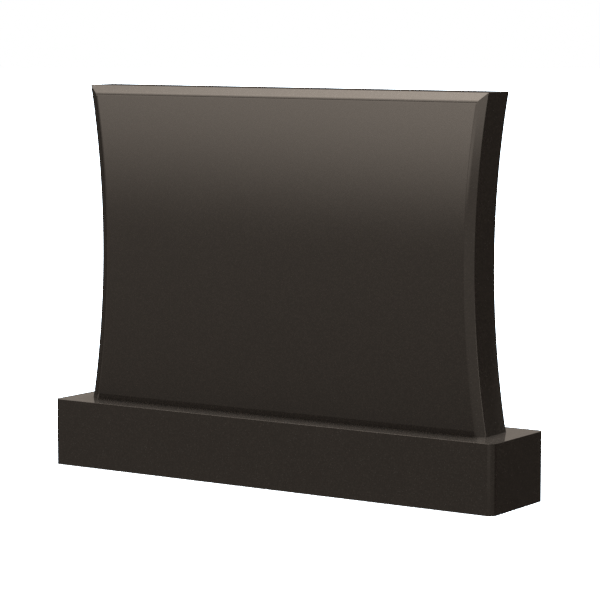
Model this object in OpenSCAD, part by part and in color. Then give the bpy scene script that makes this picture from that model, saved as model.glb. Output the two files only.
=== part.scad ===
// Upright headstone: a polished granite tablet with waisted sides, standing on a rectangular base.
// Millimetres. +X runs along the width, the bevelled front faces -Y and +Z is up.
// The origin is the centre of the base's underside.

/* [Tablet] */
// Width of the tablet across its top and its bottom corners
tablet_w = 1000; // [600:5:1400]
// Height of the tablet above the base
tablet_h = 690; // [450:1:1100]
// Thickness of the tablet from front to back
tablet_t = 90; // [60:1:160]
// How far each side curves in at its waist, half-way up
waist_in = 30; // [10:1:70]
// Width of the bevel around the front, measured on the front face
bevel_w = 18; // [8:1:36]
// Depth of that bevel, measured on the top and the sides
bevel_d = 9; // [4:0.5:18]
// Chamfer that takes the sharpness off the tablet's edges at the back
tablet_arris = 1.5; // [0.5:0.5:4]

/* [Base] */
// Height of the base
base_h = 145; // [80:1:300]
// How far the base stands out past the tablet at each end
end_ledge = 55; // [25:1:150]
// How far the base stands out in front of the tablet
front_ledge = 60; // [25:0.5:150]
// How far the base stands out behind the tablet
back_ledge = 60; // [25:0.5:150]
// Radius of the base's upright corners
base_corner_r = 15; // [10:1:24]
// Radius of the softened edge around the top of the base
base_arris = 1; // [0.5:0.5:5]

/* [Hidden] */

// Distance by which a cutter runs past the face that it opens
overrun = 2;
// Segments of a full turn: on the sides' long arcs, and on the small radii
side_fn = 1440;
corner_fn = 96;

// The base is set out from the tablet that it carries, which stands centred on Y = 0
base_w = tablet_w + 2 * end_ledge;
base_front = -tablet_t / 2 - front_ledge;
base_d = front_ledge + tablet_t + back_ledge;

// Each side is an arc through the top corner, the waist and the bottom corner
side_r = (pow(tablet_h / 2, 2) + pow(waist_in, 2)) / (2 * waist_in);
side_centre_x = tablet_w / 2 - waist_in + side_r;

// Width of the bevel for each millimetre of its depth
bevel_slope = bevel_w / bevel_d;

// Section of the cutter that shapes one side: distance from the arc's axis against depth.
// It is a plain cylinder at mid thickness, and flares into the bevel in front and the arris behind.
module side_cutter_section() {
    front = -tablet_t / 2;
    back = tablet_t / 2;
    polygon([
        [0, front - overrun],
        [side_r + bevel_w + overrun * bevel_slope, front - overrun],
        [side_r, front + bevel_d],
        [side_r, back - tablet_arris],
        [side_r + tablet_arris + overrun, back + overrun],
        [0, back + overrun]
    ]);
}

module side_cutter() {
    translate([side_centre_x, 0, tablet_h / 2])
        rotate([-90, 0, 0])
            rotate_extrude($fn = side_fn)
                side_cutter_section();
}

// Sections, seen along X, of the wedges taken off the top edge in front and behind
module top_bevel_section() {
    front = -tablet_t / 2;
    polygon([
        [front - overrun, tablet_h - bevel_w - overrun * bevel_slope],
        [front + bevel_d + overrun / bevel_slope, tablet_h + overrun],
        [front - overrun, tablet_h + overrun]
    ]);
}

module top_arris_section() {
    back = tablet_t / 2;
    polygon([
        [back + overrun, tablet_h - tablet_arris - overrun],
        [back + overrun, tablet_h + overrun],
        [back - tablet_arris - overrun, tablet_h + overrun]
    ]);
}

// Stretches a section drawn in depth and height along the width
module along_x(length) {
    rotate([90, 0, 90])
        translate([0, 0, -length / 2])
            linear_extrude(height = length)
                children();
}

// The slab starts a little wide, so that the arcs alone make its ends, corner to corner
module tablet() {
    slab_w = tablet_w + 2 * overrun;
    color([0.16, 0.14, 0.13])
        translate([0, 0, base_h])
            difference() {
                translate([-slab_w / 2, -tablet_t / 2, 0])
                    cube([slab_w, tablet_t, tablet_h]);
                side_cutter();
                mirror([1, 0, 0]) side_cutter();
                along_x(slab_w + 2 * overrun) top_bevel_section();
                along_x(slab_w + 2 * overrun) top_arris_section();
            }
}

// Footprint of the base, with rounded corners
module base_footprint() {
    square([base_w, base_d - 2 * base_corner_r], center = true);
    square([base_w - 2 * base_corner_r, base_d], center = true);
    for (x = [-1, 1], y = [-1, 1])
        translate([x * (base_w / 2 - base_corner_r), y * (base_d / 2 - base_corner_r)])
            circle(r = base_corner_r, $fn = corner_fn);
}

// Section of the waste outside the rounded top edge, with the edge's face at the distance "reach"
module top_edge_section(reach) {
    translate([reach - base_arris, base_h - base_arris])
        difference() {
            square(base_arris + overrun);
            circle(r = base_arris, $fn = corner_fn);
        }
}

// What rounds a quarter of the base's top edge: half of one long side, of one end, and a corner
module top_edge_cutters() {
    corner_x = base_w / 2 - base_corner_r;
    corner_y = base_d / 2 - base_corner_r;
    along_x(2 * corner_x) top_edge_section(base_d / 2);
    rotate([0, 0, -90]) along_x(2 * corner_y) top_edge_section(base_w / 2);
    translate([corner_x, corner_y, 0])
        rotate_extrude(angle = 90, $fn = corner_fn)
            top_edge_section(base_corner_r);
}

module base() {
    color([0.14, 0.12, 0.11])
        translate([0, base_front + base_d / 2, 0])
            difference() {
                linear_extrude(height = base_h) base_footprint();
                for (x = [0, 1], y = [0, 1])
                    mirror([x, 0, 0]) mirror([0, y, 0]) top_edge_cutters();
            }
}

tablet();
base();
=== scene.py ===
"""Polished granite headstone with waisted sides: its finished stones and a plain studio around them.

Metres, +Z up, the bevelled front faces -Y, the origin is the centre of the base's underside.
"""

from math import asin, atan2, cos, degrees, pi, radians, sin, tan

import bmesh
import bpy
from bpy.props import FloatProperty, FloatVectorProperty, IntProperty, PointerProperty
from mathutils import Matrix, Vector


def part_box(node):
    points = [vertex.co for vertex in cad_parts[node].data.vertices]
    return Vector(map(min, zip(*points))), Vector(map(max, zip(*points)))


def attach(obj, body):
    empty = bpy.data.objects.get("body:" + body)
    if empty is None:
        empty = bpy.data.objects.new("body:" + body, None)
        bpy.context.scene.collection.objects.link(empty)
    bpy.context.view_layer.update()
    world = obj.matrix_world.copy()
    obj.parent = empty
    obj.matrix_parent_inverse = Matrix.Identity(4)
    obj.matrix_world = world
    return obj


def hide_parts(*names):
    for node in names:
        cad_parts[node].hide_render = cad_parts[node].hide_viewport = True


bl_info = {
    "name": "Waisted Headstone",
    "version": (1, 0, 0),
    "blender": (4, 5, 0),
    "location": "View3D > Sidebar > Headstone",
    "description": "Builds a polished granite headstone with waisted sides on a rectangular base",
    "category": "Add Mesh",
}

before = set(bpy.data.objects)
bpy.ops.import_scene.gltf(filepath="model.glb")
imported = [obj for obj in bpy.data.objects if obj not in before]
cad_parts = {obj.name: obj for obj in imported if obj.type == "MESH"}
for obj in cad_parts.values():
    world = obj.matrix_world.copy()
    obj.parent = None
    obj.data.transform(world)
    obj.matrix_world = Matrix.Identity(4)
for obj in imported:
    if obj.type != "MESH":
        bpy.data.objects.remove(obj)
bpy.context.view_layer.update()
TABLET_LOW, TABLET_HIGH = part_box("tablet")
BASE_LOW, BASE_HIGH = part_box("base")

# Arrises are eased where the stone turns by more than the first angle. Edges that turn by more
# than the second, such as the mitres, are shaded crisply, and those that turn by less are one curve.
HARD_CREASE = radians(50)
SHARP_CREASE = radians(30)
ARRIS_STEPS = 4
# Faces that point down more steeply than this are sawn, and the others are polished.
SAWN_FACING = -0.99
# Points nearer to each other than this are one point.
SAME_POINT = 1e-6
# How near to the tablet's foot, or to the base's top, an edge counts as lying in it.
AT_FOOT = 1e-4
AT_TOP = 1e-5
# Edges of the base that rise by more than this are its upright corners.
UPRIGHT_RISE = 1e-3

STONE_IOR = 1.55
# Moves the pattern of the base, so that it doesn't run on from the tablet's.
BASE_PATTERN = (3.7, 1.9, 5.3)

WHITE = (1.0, 1.0, 1.0, 1.0)
WARM_LIGHT = (1.0, 0.87, 0.75, 1.0)
COOL_LIGHT = (0.78, 0.9, 1.0)
FLOOR_GLOW = 0.62
FLOOR_RADIUS = 40.0
# The floor lies this far under the base, so that the two don't share a plane.
FLOOR_GAP = 0.0003
TENT_RADIUS = 50.0
BACKDROP_RADIUS = 60.0
# Light that the tent gives where it has no panel, and that the world gives to dull surfaces.
TENT_GLOOM = 0.3
SKY_STRENGTH = 0.55
OVERHEAD_STRENGTH = 14
OVERHEAD_SPREAD = radians(5)
OVERHEAD_LEAN = radians(-2.0)
CARD_CENTRE = (0.65, -1.327, 0.33)
CARD_SIZE = (1.5, 1.24)
CARD_TURN = radians(6.5)
SENSOR_WIDTH = 36


# ---------------------------------------------------------------- properties


class TabletSizes(bpy.types.PropertyGroup):
    """Shape of the upright stone, inside the box of its frame"""

    waist: FloatProperty(
        name="Waist",
        description="How far each side curves in, half-way up",
        default=0.030,
        min=0.005,
        unit="LENGTH",
    )
    bevel_width: FloatProperty(
        name="Bevel width",
        description="Width of the front bevel, measured on the front face",
        default=0.018,
        min=0.002,
        unit="LENGTH",
    )
    bevel_depth: FloatProperty(
        name="Bevel depth",
        description="Depth of the front bevel, measured on the top and the sides",
        default=0.009,
        min=0.001,
        unit="LENGTH",
    )
    arris: FloatProperty(
        name="Arris",
        description="How far each sharp edge is eased off by the polisher",
        default=0.0012,
        min=0.0002,
        unit="LENGTH",
    )
    roll: FloatProperty(
        name="Roll",
        description="Width of the soft turn between the face and its bevel, on each side of it",
        default=0.0045,
        min=0.0002,
        unit="LENGTH",
    )
    roll_steps: IntProperty(
        name="Roll steps",
        description="Faces across that soft turn",
        default=8,
        min=2,
    )
    courses: IntProperty(
        name="Courses",
        description="Steps along each curved side",
        default=96,
        min=8,
    )


class BaseSizes(bpy.types.PropertyGroup):
    """Shape of the block below, inside the box of its frame"""

    corner: FloatProperty(
        name="Corner",
        description="Radius of the upright corners",
        default=0.015,
        min=0.002,
        unit="LENGTH",
    )
    arris: FloatProperty(
        name="Arris",
        description="Radius of the softened edge around the top",
        default=0.0005,
        min=0.0003,
        unit="LENGTH",
    )
    corner_steps: IntProperty(
        name="Corner steps",
        description="Faces around each upright corner",
        default=16,
        min=3,
    )


class StoneFinish(bpy.types.PropertyGroup):
    """Colours and polish of the granite"""

    dark: FloatVectorProperty(
        name="Dark mineral",
        description="Colour of the black crystals that make most of the stone",
        default=(0.0160, 0.0119, 0.0092),
        subtype="COLOR",
    )
    grey: FloatVectorProperty(
        name="Grey mineral",
        description="Colour of the grey-brown feldspar between them",
        default=(0.0270, 0.0206, 0.0162),
        subtype="COLOR",
    )
    fleck: FloatVectorProperty(
        name="Fleck",
        description="Colour of the few pale flecks",
        default=(0.060, 0.053, 0.045),
        subtype="COLOR",
    )
    sawn: FloatVectorProperty(
        name="Sawn stone",
        description="Colour of the unpolished underside",
        default=(0.115, 0.108, 0.10),
        subtype="COLOR",
    )
    grain: FloatProperty(
        name="Grain",
        description="Typical size of a crystal",
        default=0.0022,
        min=0.0002,
        unit="LENGTH",
    )
    polish: FloatProperty(
        name="Polish",
        description="Roughness of the polished faces",
        default=0.035,
        min=0.0,
        max=1.0,
        subtype="FACTOR",
    )


class StudioSetup(bpy.types.PropertyGroup):
    """Camera, floor and light"""

    camera_place: FloatVectorProperty(
        name="Camera",
        description="Where the camera stands",
        default=(3.0734, -4.5633, 0.9958),
        subtype="TRANSLATION",
        unit="LENGTH",
    )
    camera_turn: FloatProperty(
        name="Turn",
        description="Angle of the camera's aim to the left of straight ahead",
        default=radians(33.732),
        subtype="ANGLE",
    )
    camera_dip: FloatProperty(
        name="Dip",
        description="Angle of the camera's aim below level",
        default=radians(6.302),
        subtype="ANGLE",
    )
    lens: FloatProperty(
        name="Lens",
        description="Focal length on a 36 mm sensor",
        default=157.27,
        min=10,
        unit="CAMERA",
    )
    floor_shade: FloatProperty(
        name="Floor",
        description="Lightness of the floor",
        default=0.92,
        min=0,
        max=1,
        subtype="FACTOR",
    )


# ---------------------------------------------------------------- node helpers


class Signal:
    """A number that varies over a surface; sums on it add Math nodes to its shader."""

    def __init__(self, shader, socket):
        self.shader = shader
        self.socket = socket

    def _math(self, operation, first, second):
        made = self.shader.node("Math", {"operation": operation}, {0: first, 1: second})
        return made.signal(0)

    def __add__(self, other):
        return self._math("ADD", self, other)

    def __radd__(self, other):
        return self._math("ADD", other, self)

    def __sub__(self, other):
        return self._math("SUBTRACT", self, other)

    def __rsub__(self, other):
        return self._math("SUBTRACT", other, self)

    def __mul__(self, other):
        return self._math("MULTIPLY", self, other)

    def __rmul__(self, other):
        return self._math("MULTIPLY", other, self)

    def atan2(self, other):
        return self._math("ARCTAN2", self, other)

    def asin(self):
        return self._math("ARCSINE", self, 0.0)

    def ramp(self, low, high, start=0.0, end=1.0):
        """Smooth step from start, where the signal is low, to end, where it is high."""
        made = self.shader.node(
            "MapRange",
            {"interpolation_type": "SMOOTHSTEP"},
            {"Value": self, "From Min": low, "From Max": high, "To Min": start, "To Max": end},
        )
        return made.signal("Result")

    def window(self, low, high, edge):
        """One between low and high, fading to nothing over the width of an edge outside them."""
        return self.ramp(low - edge, low) * self.ramp(high, high + edge, 1.0, 0.0)


class Made:
    """A node that has been added, and its outputs."""

    def __init__(self, shader, node):
        self.shader = shader
        self.node = node

    def __getitem__(self, key):
        return self.node.outputs[key]

    def signal(self, key):
        return Signal(self.shader, self.node.outputs[key])


class Shader:
    """The node tree of one material or world."""

    def __init__(self, tree):
        self.tree = tree
        tree.nodes.clear()

    def node(self, kind, settings=None, sockets=None):
        """Adds a node, sets it up, then gives its sockets their values or links."""
        new = self.tree.nodes.new("ShaderNode" + kind)
        for key, value in (settings or {}).items():
            setattr(new, key, value)
        for key, value in (sockets or {}).items():
            source = value.socket if isinstance(value, Signal) else value
            if isinstance(source, bpy.types.NodeSocket):
                self.tree.links.new(source, new.inputs[key])
            else:
                new.inputs[key].default_value = source
        return Made(self, new)

    def mix(self, factor, first, second):
        """Blends two colours."""
        made = self.node("Mix", {"data_type": "RGBA"}, {0: factor, 6: first, 7: second})
        return made[2]


def new_material(name):
    material = bpy.data.materials.new(name)
    material.use_nodes = True
    return material, Shader(material.node_tree)


def opaque(colour):
    return (*colour, 1.0)


# ---------------------------------------------------------------- materials


def stone_surface(shader, colour, roughness, relief):
    """Ends a material of stone."""
    surface = shader.node(
        "BsdfPrincipled",
        None,
        {
            "Base Color": colour,
            "Roughness": roughness,
            "IOR": STONE_IOR,
            "Normal": relief["Normal"],
        },
    )
    shader.node("OutputMaterial", None, {"Surface": surface[0]})


def polished_granite(name, finish, offset):
    """Dark polished stone: black and grey crystals, a few pale flecks, a mirror-like polish."""
    material, shader = new_material(name)
    place = shader.node("TexCoord")["Object"]
    place = shader.node("Mapping", None, {"Vector": place, "Location": offset})["Vector"]

    crystals = shader.node("TexVoronoi", None, {"Vector": place, "Scale": 1 / finish.grain})
    tone = shader.node("SeparateColor", None, {"Color": crystals["Color"]})
    fine = shader.node(
        "TexNoise", None, {"Vector": place, "Scale": 2.5 / finish.grain, "Detail": 2.0}
    )
    cloud = shader.node("TexNoise", None, {"Vector": place, "Scale": 9.0, "Detail": 4.0})

    speckle = tone.signal("Red") * 0.7 + fine.signal("Fac") * 0.3
    drift = cloud.signal("Fac") - 0.5
    grey_share = (speckle + drift * 0.25).ramp(0.35, 0.85)
    colour = shader.mix(grey_share.socket, opaque(finish.dark), opaque(finish.grey))
    flecks = tone.signal("Green").ramp(0.965, 0.985) * crystals.signal("Distance").ramp(0.5, 0.25)
    colour = shader.mix(flecks.socket, colour, opaque(finish.fleck))

    roughness = finish.polish + 0.012 * tone.signal("Blue") + 0.02 * cloud.signal("Fac")
    relief = shader.node(
        "Bump",
        None,
        {"Strength": 0.04, "Distance": 0.0002, "Height": fine["Fac"]},
    )
    stone_surface(shader, colour, roughness, relief)
    return material


def sawn_granite(name, finish):
    """Unpolished underside: pale, dull stone with the marks of the saw."""
    material, shader = new_material(name)
    place = shader.node("TexCoord")["Object"]
    crystals = shader.node("TexVoronoi", None, {"Vector": place, "Scale": 1 / finish.grain})
    tone = shader.node("SeparateColor", None, {"Color": crystals["Color"]})
    marks = shader.node(
        "TexWave",
        {"bands_direction": "X"},
        {"Vector": place, "Scale": 38.0, "Distortion": 0.6, "Detail": 2.0},
    )
    pale = Vector(finish.sawn)
    colour = shader.mix(tone["Red"], opaque(pale * 0.6), opaque(pale * 1.25))
    relief = shader.node(
        "Bump", None, {"Strength": 0.5, "Distance": 0.0005, "Height": marks["Fac"]}
    )
    roughness = 0.65 + 0.2 * tone.signal("Green")
    stone_surface(shader, colour, roughness, relief)
    return material


def floor_material(shade):
    """Plain pale studio floor, lit evenly from below as a product table is."""
    material, shader = new_material("studio_floor")
    surface = shader.node(
        "BsdfPrincipled",
        None,
        {
            "Base Color": (shade, shade, shade, 1.0),
            "Roughness": 1.0,
            "Specular IOR Level": 0.0,
            "Emission Color": WHITE,
            "Emission Strength": FLOOR_GLOW,
        },
    )
    shader.node("OutputMaterial", None, {"Surface": surface[0]})
    return material


def glow_surface(material, shader, surface):
    """Ends a material that is seen to glow, and isn't sampled as a lamp."""
    shader.node("OutputMaterial", None, {"Surface": surface[0]})
    material.cycles.emission_sampling = "NONE"
    return material


def backdrop_material():
    """Plain white ground behind the stone."""
    material, shader = new_material("studio_backdrop")
    glow = shader.node("Emission", None, {"Color": WHITE, "Strength": 1.0})
    return glow_surface(material, shader, glow)


def tent_material():
    """What the polished stone mirrors: soft panels on a dark surround.

    Angles are in degrees. The compass is 0 in front of the stone and grows towards +X, and the
    height is above the horizon. The floor isn't mirrored, so the tent goes on below the horizon.
    """
    material, shader = new_material("studio_tent")
    place = shader.node("TexCoord")["Object"]
    towards = shader.node("VectorMath", {"operation": "NORMALIZE"}, {0: place})
    axis = shader.node("SeparateXYZ", None, {"Vector": towards["Vector"]})
    height = axis.signal("Z").asin() * degrees(1)
    compass = axis.signal("X").atan2(0.0 - axis.signal("Y")) * degrees(1)

    # A broad front panel, whose leaning lower edge fades out through the horizon
    front = compass.window(-58, 45, 18)
    lean = height + compass.ramp(-46, -26, -0.45, 0.45)
    panel = lean.ramp(-4.3, -0.4) * compass.ramp(-46, -26, 1.27, 2.4)
    spill = height.ramp(-10, 2, 0.04, 0.4)
    below_top = height.ramp(6, 8, 1.0, 0.0)
    light = TENT_GLOOM + (panel + spill) * below_top * front

    # A softbox above a dark gap, for the bevel along the top
    box = height.ramp(10.2, 11.6) * height.ramp(60, 68, 1.0, 0.0) * compass.window(-64, -8, 14)
    dim = 1.6
    bright = compass.ramp(-56, -38, 3.0, 6.2)
    light = light + box * (dim + height.ramp(12, 42) * (bright - dim))

    # Dark flags on the left, behind on the right, and low behind on the left
    left = compass.window(-112, -72, 14) * height.ramp(6, 0)
    right = compass.window(112, 180, 30) * height.ramp(20, 6)
    behind = compass.window(-176, -122, 10)
    low_behind = behind * height.ramp(6.5, 3.5)
    light = light * (1 - left * 0.55) * (1 - right * 0.8) * (1 - low_behind * 0.8)
    light = light + behind * height.window(7, 40, 4) * 0.02

    glow = shader.node("Emission", None, {"Color": WARM_LIGHT, "Strength": light})
    return glow_surface(material, shader, glow)


def card_material():
    """A reflector card before the front, brighter towards its top, with soft edges."""
    material, shader = new_material("studio_card")
    place = shader.node("TexCoord")["Object"]
    axis = shader.node("SeparateXYZ", None, {"Vector": place})
    across = axis.signal("X")
    height = axis.signal("Z")
    light = 0.5 + height.ramp(0.0, 0.45, 0.0, 0.18) + height.ramp(0.455, 0.575, 0.0, 1.2)
    glow = shader.node("Emission", None, {"Color": WARM_LIGHT, "Strength": light})
    clear = shader.node("BsdfTransparent")
    solid = across.window(0.2, 1.1, 0.28) * height.window(-0.08, 0.74, 0.2)
    card = shader.node("MixShader", None, {0: solid, 1: clear[0], 2: glow[0]})
    return glow_surface(material, shader, card)


# ---------------------------------------------------------------- modelling


def finish_piece(bm, name, materials, node):
    """Turns a bmesh into a shown piece that stands for a node of the frame."""
    bmesh.ops.recalc_face_normals(bm, faces=bm.faces)
    for face in bm.faces:
        face.smooth = True
        face.material_index = 1 if face.normal.z < SAWN_FACING else 0
    for edge in bm.edges:
        edge.smooth = edge.calc_face_angle() < SHARP_CREASE
    mesh = bpy.data.meshes.new(name)
    bm.to_mesh(mesh)
    bm.free()
    for material in materials:
        mesh.materials.append(material)
    piece = bpy.data.objects.new(name, mesh)
    bpy.context.scene.collection.objects.link(piece)
    weighted = piece.modifiers.new("even_shading", "WEIGHTED_NORMAL")
    weighted.mode = "FACE_AREA"
    weighted.weight = 100
    weighted.keep_sharp = True
    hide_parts(node)
    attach(piece, "root")
    return piece


def cut(bm, point, normal):
    """Cuts away what lies beyond a plane and closes the stone with a flat face."""
    everything = bm.verts[:] + bm.edges[:] + bm.faces[:]
    bmesh.ops.bisect_plane(
        bm, geom=everything, dist=SAME_POINT, plane_co=point, plane_no=normal, clear_outer=True
    )
    rim = [edge for edge in bm.edges if edge.is_boundary]
    bmesh.ops.holes_fill(bm, edges=rim, sides=0)


def hard_edges(bm, foot):
    """Edges where the stone turns sharply, other than those of its foot."""
    found = []
    for edge in bm.edges:
        at_foot = all(vert.co.z < foot for vert in edge.verts)
        if edge.is_manifold and not at_foot and edge.calc_face_angle() > HARD_CREASE:
            found.append(edge)
    return found


def ease(bm, edges, offset, segments):
    """Rounds off edges."""
    bmesh.ops.bevel(
        bm,
        geom=edges,
        offset=offset,
        offset_type="OFFSET",
        affect="EDGES",
        segments=segments,
        profile=0.5,
        material=-1,
        clamp_overlap=False,
        loop_slide=True,
    )


def rolled_edge(sizes):
    """The soft turn from the front to the bevel, as steps outwards and back from its corner."""
    turn = atan2(sizes.bevel_depth, sizes.bevel_width)
    radius = sizes.roll / tan(turn / 2)
    points = []
    for step in range(sizes.roll_steps + 1):
        angle = turn * step / sizes.roll_steps
        points.append((radius * sin(angle) - sizes.roll, radius * (1 - cos(angle))))
    return points


def tablet_stone(sizes):
    """The upright stone: both sides spun about the axes of their arcs, then cut and bevelled."""
    low, high = TABLET_LOW, TABLET_HIGH
    half_height = (high.z - low.z) / 2
    radius = (half_height**2 + sizes.waist**2) / (2 * sizes.waist)
    waist_x = high.x - sizes.waist
    middle_z = (low.z + high.z) / 2
    sweep = asin((half_height + sizes.bevel_width) / radius)
    inner_x = waist_x - sizes.bevel_width
    inner_z = high.z - sizes.bevel_width
    roll = rolled_edge(sizes)

    bm = bmesh.new()
    section = [(waist_x, high.y, middle_z), (waist_x, low.y + sizes.bevel_depth, middle_z)]
    for out, back in reversed(roll):
        section.append((inner_x + out, low.y + back, middle_z))
    verts = [bm.verts.new(point) for point in section]
    edges = [bm.edges.new(pair) for pair in zip(verts, verts[1:])]
    axis_point = Vector((waist_x + radius, 0, middle_z))
    bmesh.ops.rotate(bm, verts=verts, cent=axis_point, matrix=Matrix.Rotation(-sweep, 3, "Y"))
    bmesh.ops.spin(
        bm,
        geom=verts + edges,
        cent=axis_point,
        axis=(0, 1, 0),
        angle=2 * sweep,
        steps=sizes.courses,
        use_duplicate=False,
    )
    bmesh.ops.mirror(bm, geom=bm.verts[:] + bm.edges[:] + bm.faces[:], axis="X", merge_dist=-1)
    for depth in (low.y, high.y):
        chain = [
            edge
            for edge in bm.edges
            if edge.is_boundary and all(abs(vert.co.y - depth) < SAME_POINT for vert in edge.verts)
        ]
        bmesh.ops.bridge_loops(bm, edges=chain)
    cut(bm, (0, 0, low.z), (0, 0, -1))
    cut(bm, (0, 0, high.z), (0, 0, 1))
    slope = Vector((0, -sizes.bevel_width, sizes.bevel_depth)).normalized()
    cut(bm, (0, low.y, inner_z), slope)
    for (out, back), (next_out, next_back) in reversed(list(zip(roll, roll[1:]))):
        facing = Vector((0, out - next_out, next_back - back)).normalized()
        cut(bm, (0, low.y + back, inner_z + out), facing)
    bmesh.ops.remove_doubles(bm, verts=bm.verts, dist=SAME_POINT)
    bmesh.ops.recalc_face_normals(bm, faces=bm.faces)
    ease(bm, hard_edges(bm, low.z + AT_FOOT), sizes.arris, ARRIS_STEPS)
    return bm


def base_stone(sizes):
    """The block below: rounded upright corners and a softened top edge."""
    low, high = BASE_LOW, BASE_HIGH
    bm = bmesh.new()
    size = high - low
    bmesh.ops.create_cube(
        bm, size=1.0, matrix=Matrix.Translation((low + high) / 2) @ Matrix.Diagonal((*size, 1.0))
    )
    upright = [
        edge for edge in bm.edges if abs(edge.verts[0].co.z - edge.verts[1].co.z) > UPRIGHT_RISE
    ]
    ease(bm, upright, sizes.corner, sizes.corner_steps)
    rim = [edge for edge in bm.edges if all(vert.co.z > high.z - AT_TOP for vert in edge.verts)]
    ease(bm, rim, sizes.arris, ARRIS_STEPS)
    return bm


def stage_piece(bm, name, material):
    """Turns a bmesh into a part of the studio."""
    mesh = bpy.data.meshes.new(name)
    bm.to_mesh(mesh)
    bm.free()
    mesh.materials.append(material)
    piece = bpy.data.objects.new(name, mesh)
    bpy.context.scene.collection.objects.link(piece)
    return piece


def show_to(piece, camera=False, glossy=False):
    """Hides a part of the studio from every kind of ray but those named."""
    piece.visible_camera = camera
    piece.visible_glossy = glossy
    piece.visible_diffuse = False
    piece.visible_transmission = False
    piece.visible_shadow = False


# ---------------------------------------------------------------- operators


class HEADSTONE_OT_tablet(bpy.types.Operator):
    """Make the upright stone with its waisted sides and bevelled front"""

    bl_idname = "headstone.tablet"
    bl_label = "Tablet"

    def execute(self, context):
        finish = context.scene.headstone_finish
        bm = tablet_stone(context.scene.headstone_tablet)
        materials = [
            polished_granite("tablet_granite", finish, (0.0, 0.0, 0.0)),
            sawn_granite("tablet_sawn", finish),
        ]
        finish_piece(bm, "tablet_stone", materials, "tablet")
        return {"FINISHED"}


class HEADSTONE_OT_base(bpy.types.Operator):
    """Make the block that the tablet stands on"""

    bl_idname = "headstone.base"
    bl_label = "Base"

    def execute(self, context):
        finish = context.scene.headstone_finish
        bm = base_stone(context.scene.headstone_base)
        materials = [
            polished_granite("base_granite", finish, BASE_PATTERN),
            sawn_granite("base_sawn", finish),
        ]
        finish_piece(bm, "base_stone", materials, "base")
        return {"FINISHED"}


class HEADSTONE_OT_studio(bpy.types.Operator):
    """Set up the pale floor, the soft light and the camera"""

    bl_idname = "headstone.studio"
    bl_label = "Studio"

    def execute(self, context):
        setup = context.scene.headstone_studio
        scene = context.scene
        scene.view_settings.view_transform = "Standard"
        scene.view_settings.look = "None"

        bm = bmesh.new()
        bmesh.ops.create_circle(bm, cap_ends=True, segments=64, radius=FLOOR_RADIUS)
        bmesh.ops.translate(bm, verts=bm.verts, vec=(0, 0, -FLOOR_GAP))
        floor = stage_piece(bm, "floor", floor_material(setup.floor_shade))
        show_to(floor, camera=True)

        bm = bmesh.new()
        bmesh.ops.create_icosphere(bm, subdivisions=4, radius=BACKDROP_RADIUS)
        show_to(stage_piece(bm, "backdrop", backdrop_material()), camera=True)

        bm = bmesh.new()
        bmesh.ops.create_icosphere(bm, subdivisions=4, radius=TENT_RADIUS)
        show_to(stage_piece(bm, "tent", tent_material()), glossy=True)

        bm = bmesh.new()
        bmesh.ops.create_grid(bm, x_segments=1, y_segments=1, size=0.5)
        place = Matrix.Translation(CARD_CENTRE)
        turn = Matrix.Rotation(CARD_TURN, 4, "Z")
        upright = Matrix.Rotation(radians(90.0), 4, "X")
        size = Matrix.Diagonal((*CARD_SIZE, 1.0, 1.0))
        bmesh.ops.transform(bm, verts=bm.verts, matrix=place @ turn @ upright @ size)
        show_to(stage_piece(bm, "card", card_material()), glossy=True)

        world = bpy.data.worlds.new("studio_world")
        world.use_nodes = True
        shader = Shader(world.node_tree)
        sky = shader.node("Background", None, {"Color": WHITE, "Strength": SKY_STRENGTH})
        shader.node("OutputWorld", None, {"Surface": sky[0]})
        scene.world = world

        light = bpy.data.lights.new("overhead", "SUN")
        light.color = COOL_LIGHT
        light.energy = OVERHEAD_STRENGTH
        light.angle = OVERHEAD_SPREAD
        overhead = bpy.data.objects.new("overhead", light)
        overhead.rotation_euler = (OVERHEAD_LEAN, 0, 0)
        overhead.visible_glossy = False
        scene.collection.objects.link(overhead)

        lens = bpy.data.cameras.new("camera")
        lens.lens = setup.lens
        lens.sensor_width = SENSOR_WIDTH
        camera = bpy.data.objects.new("camera", lens)
        camera.location = setup.camera_place
        camera.rotation_euler = (pi / 2 - setup.camera_dip, 0, setup.camera_turn)
        scene.collection.objects.link(camera)
        scene.camera = camera
        return {"FINISHED"}


class HEADSTONE_PT_panel(bpy.types.Panel):
    """Lists the pieces, with their sizes"""

    bl_label = "Headstone"
    bl_idname = "HEADSTONE_PT_panel"
    bl_space_type = "VIEW_3D"
    bl_region_type = "UI"
    bl_category = "Headstone"

    def draw(self, context):
        for operator, group in STEPS:
            box = self.layout.box()
            box.operator(operator)
            settings = getattr(context.scene, group)
            for key in settings.__annotations__:
                box.prop(settings, key)


STEPS = [
    ("headstone.tablet", "headstone_tablet"),
    ("headstone.base", "headstone_base"),
    ("headstone.studio", "headstone_studio"),
]
GROUPS = {
    "headstone_tablet": TabletSizes,
    "headstone_base": BaseSizes,
    "headstone_finish": StoneFinish,
    "headstone_studio": StudioSetup,
}
CLASSES = [
    HEADSTONE_OT_tablet,
    HEADSTONE_OT_base,
    HEADSTONE_OT_studio,
    HEADSTONE_PT_panel,
]


def register():
    for name, group in GROUPS.items():
        bpy.utils.register_class(group)
        setattr(bpy.types.Scene, name, PointerProperty(type=group))
    for added in CLASSES:
        bpy.utils.register_class(added)


def unregister():
    for added in reversed(CLASSES):
        bpy.utils.unregister_class(added)
    for name, group in GROUPS.items():
        delattr(bpy.types.Scene, name)
        bpy.utils.unregister_class(group)


def main():
    register()
    bpy.ops.headstone.tablet()
    bpy.ops.headstone.base()
    bpy.ops.headstone.studio()


if __name__ == "__main__":
    main()
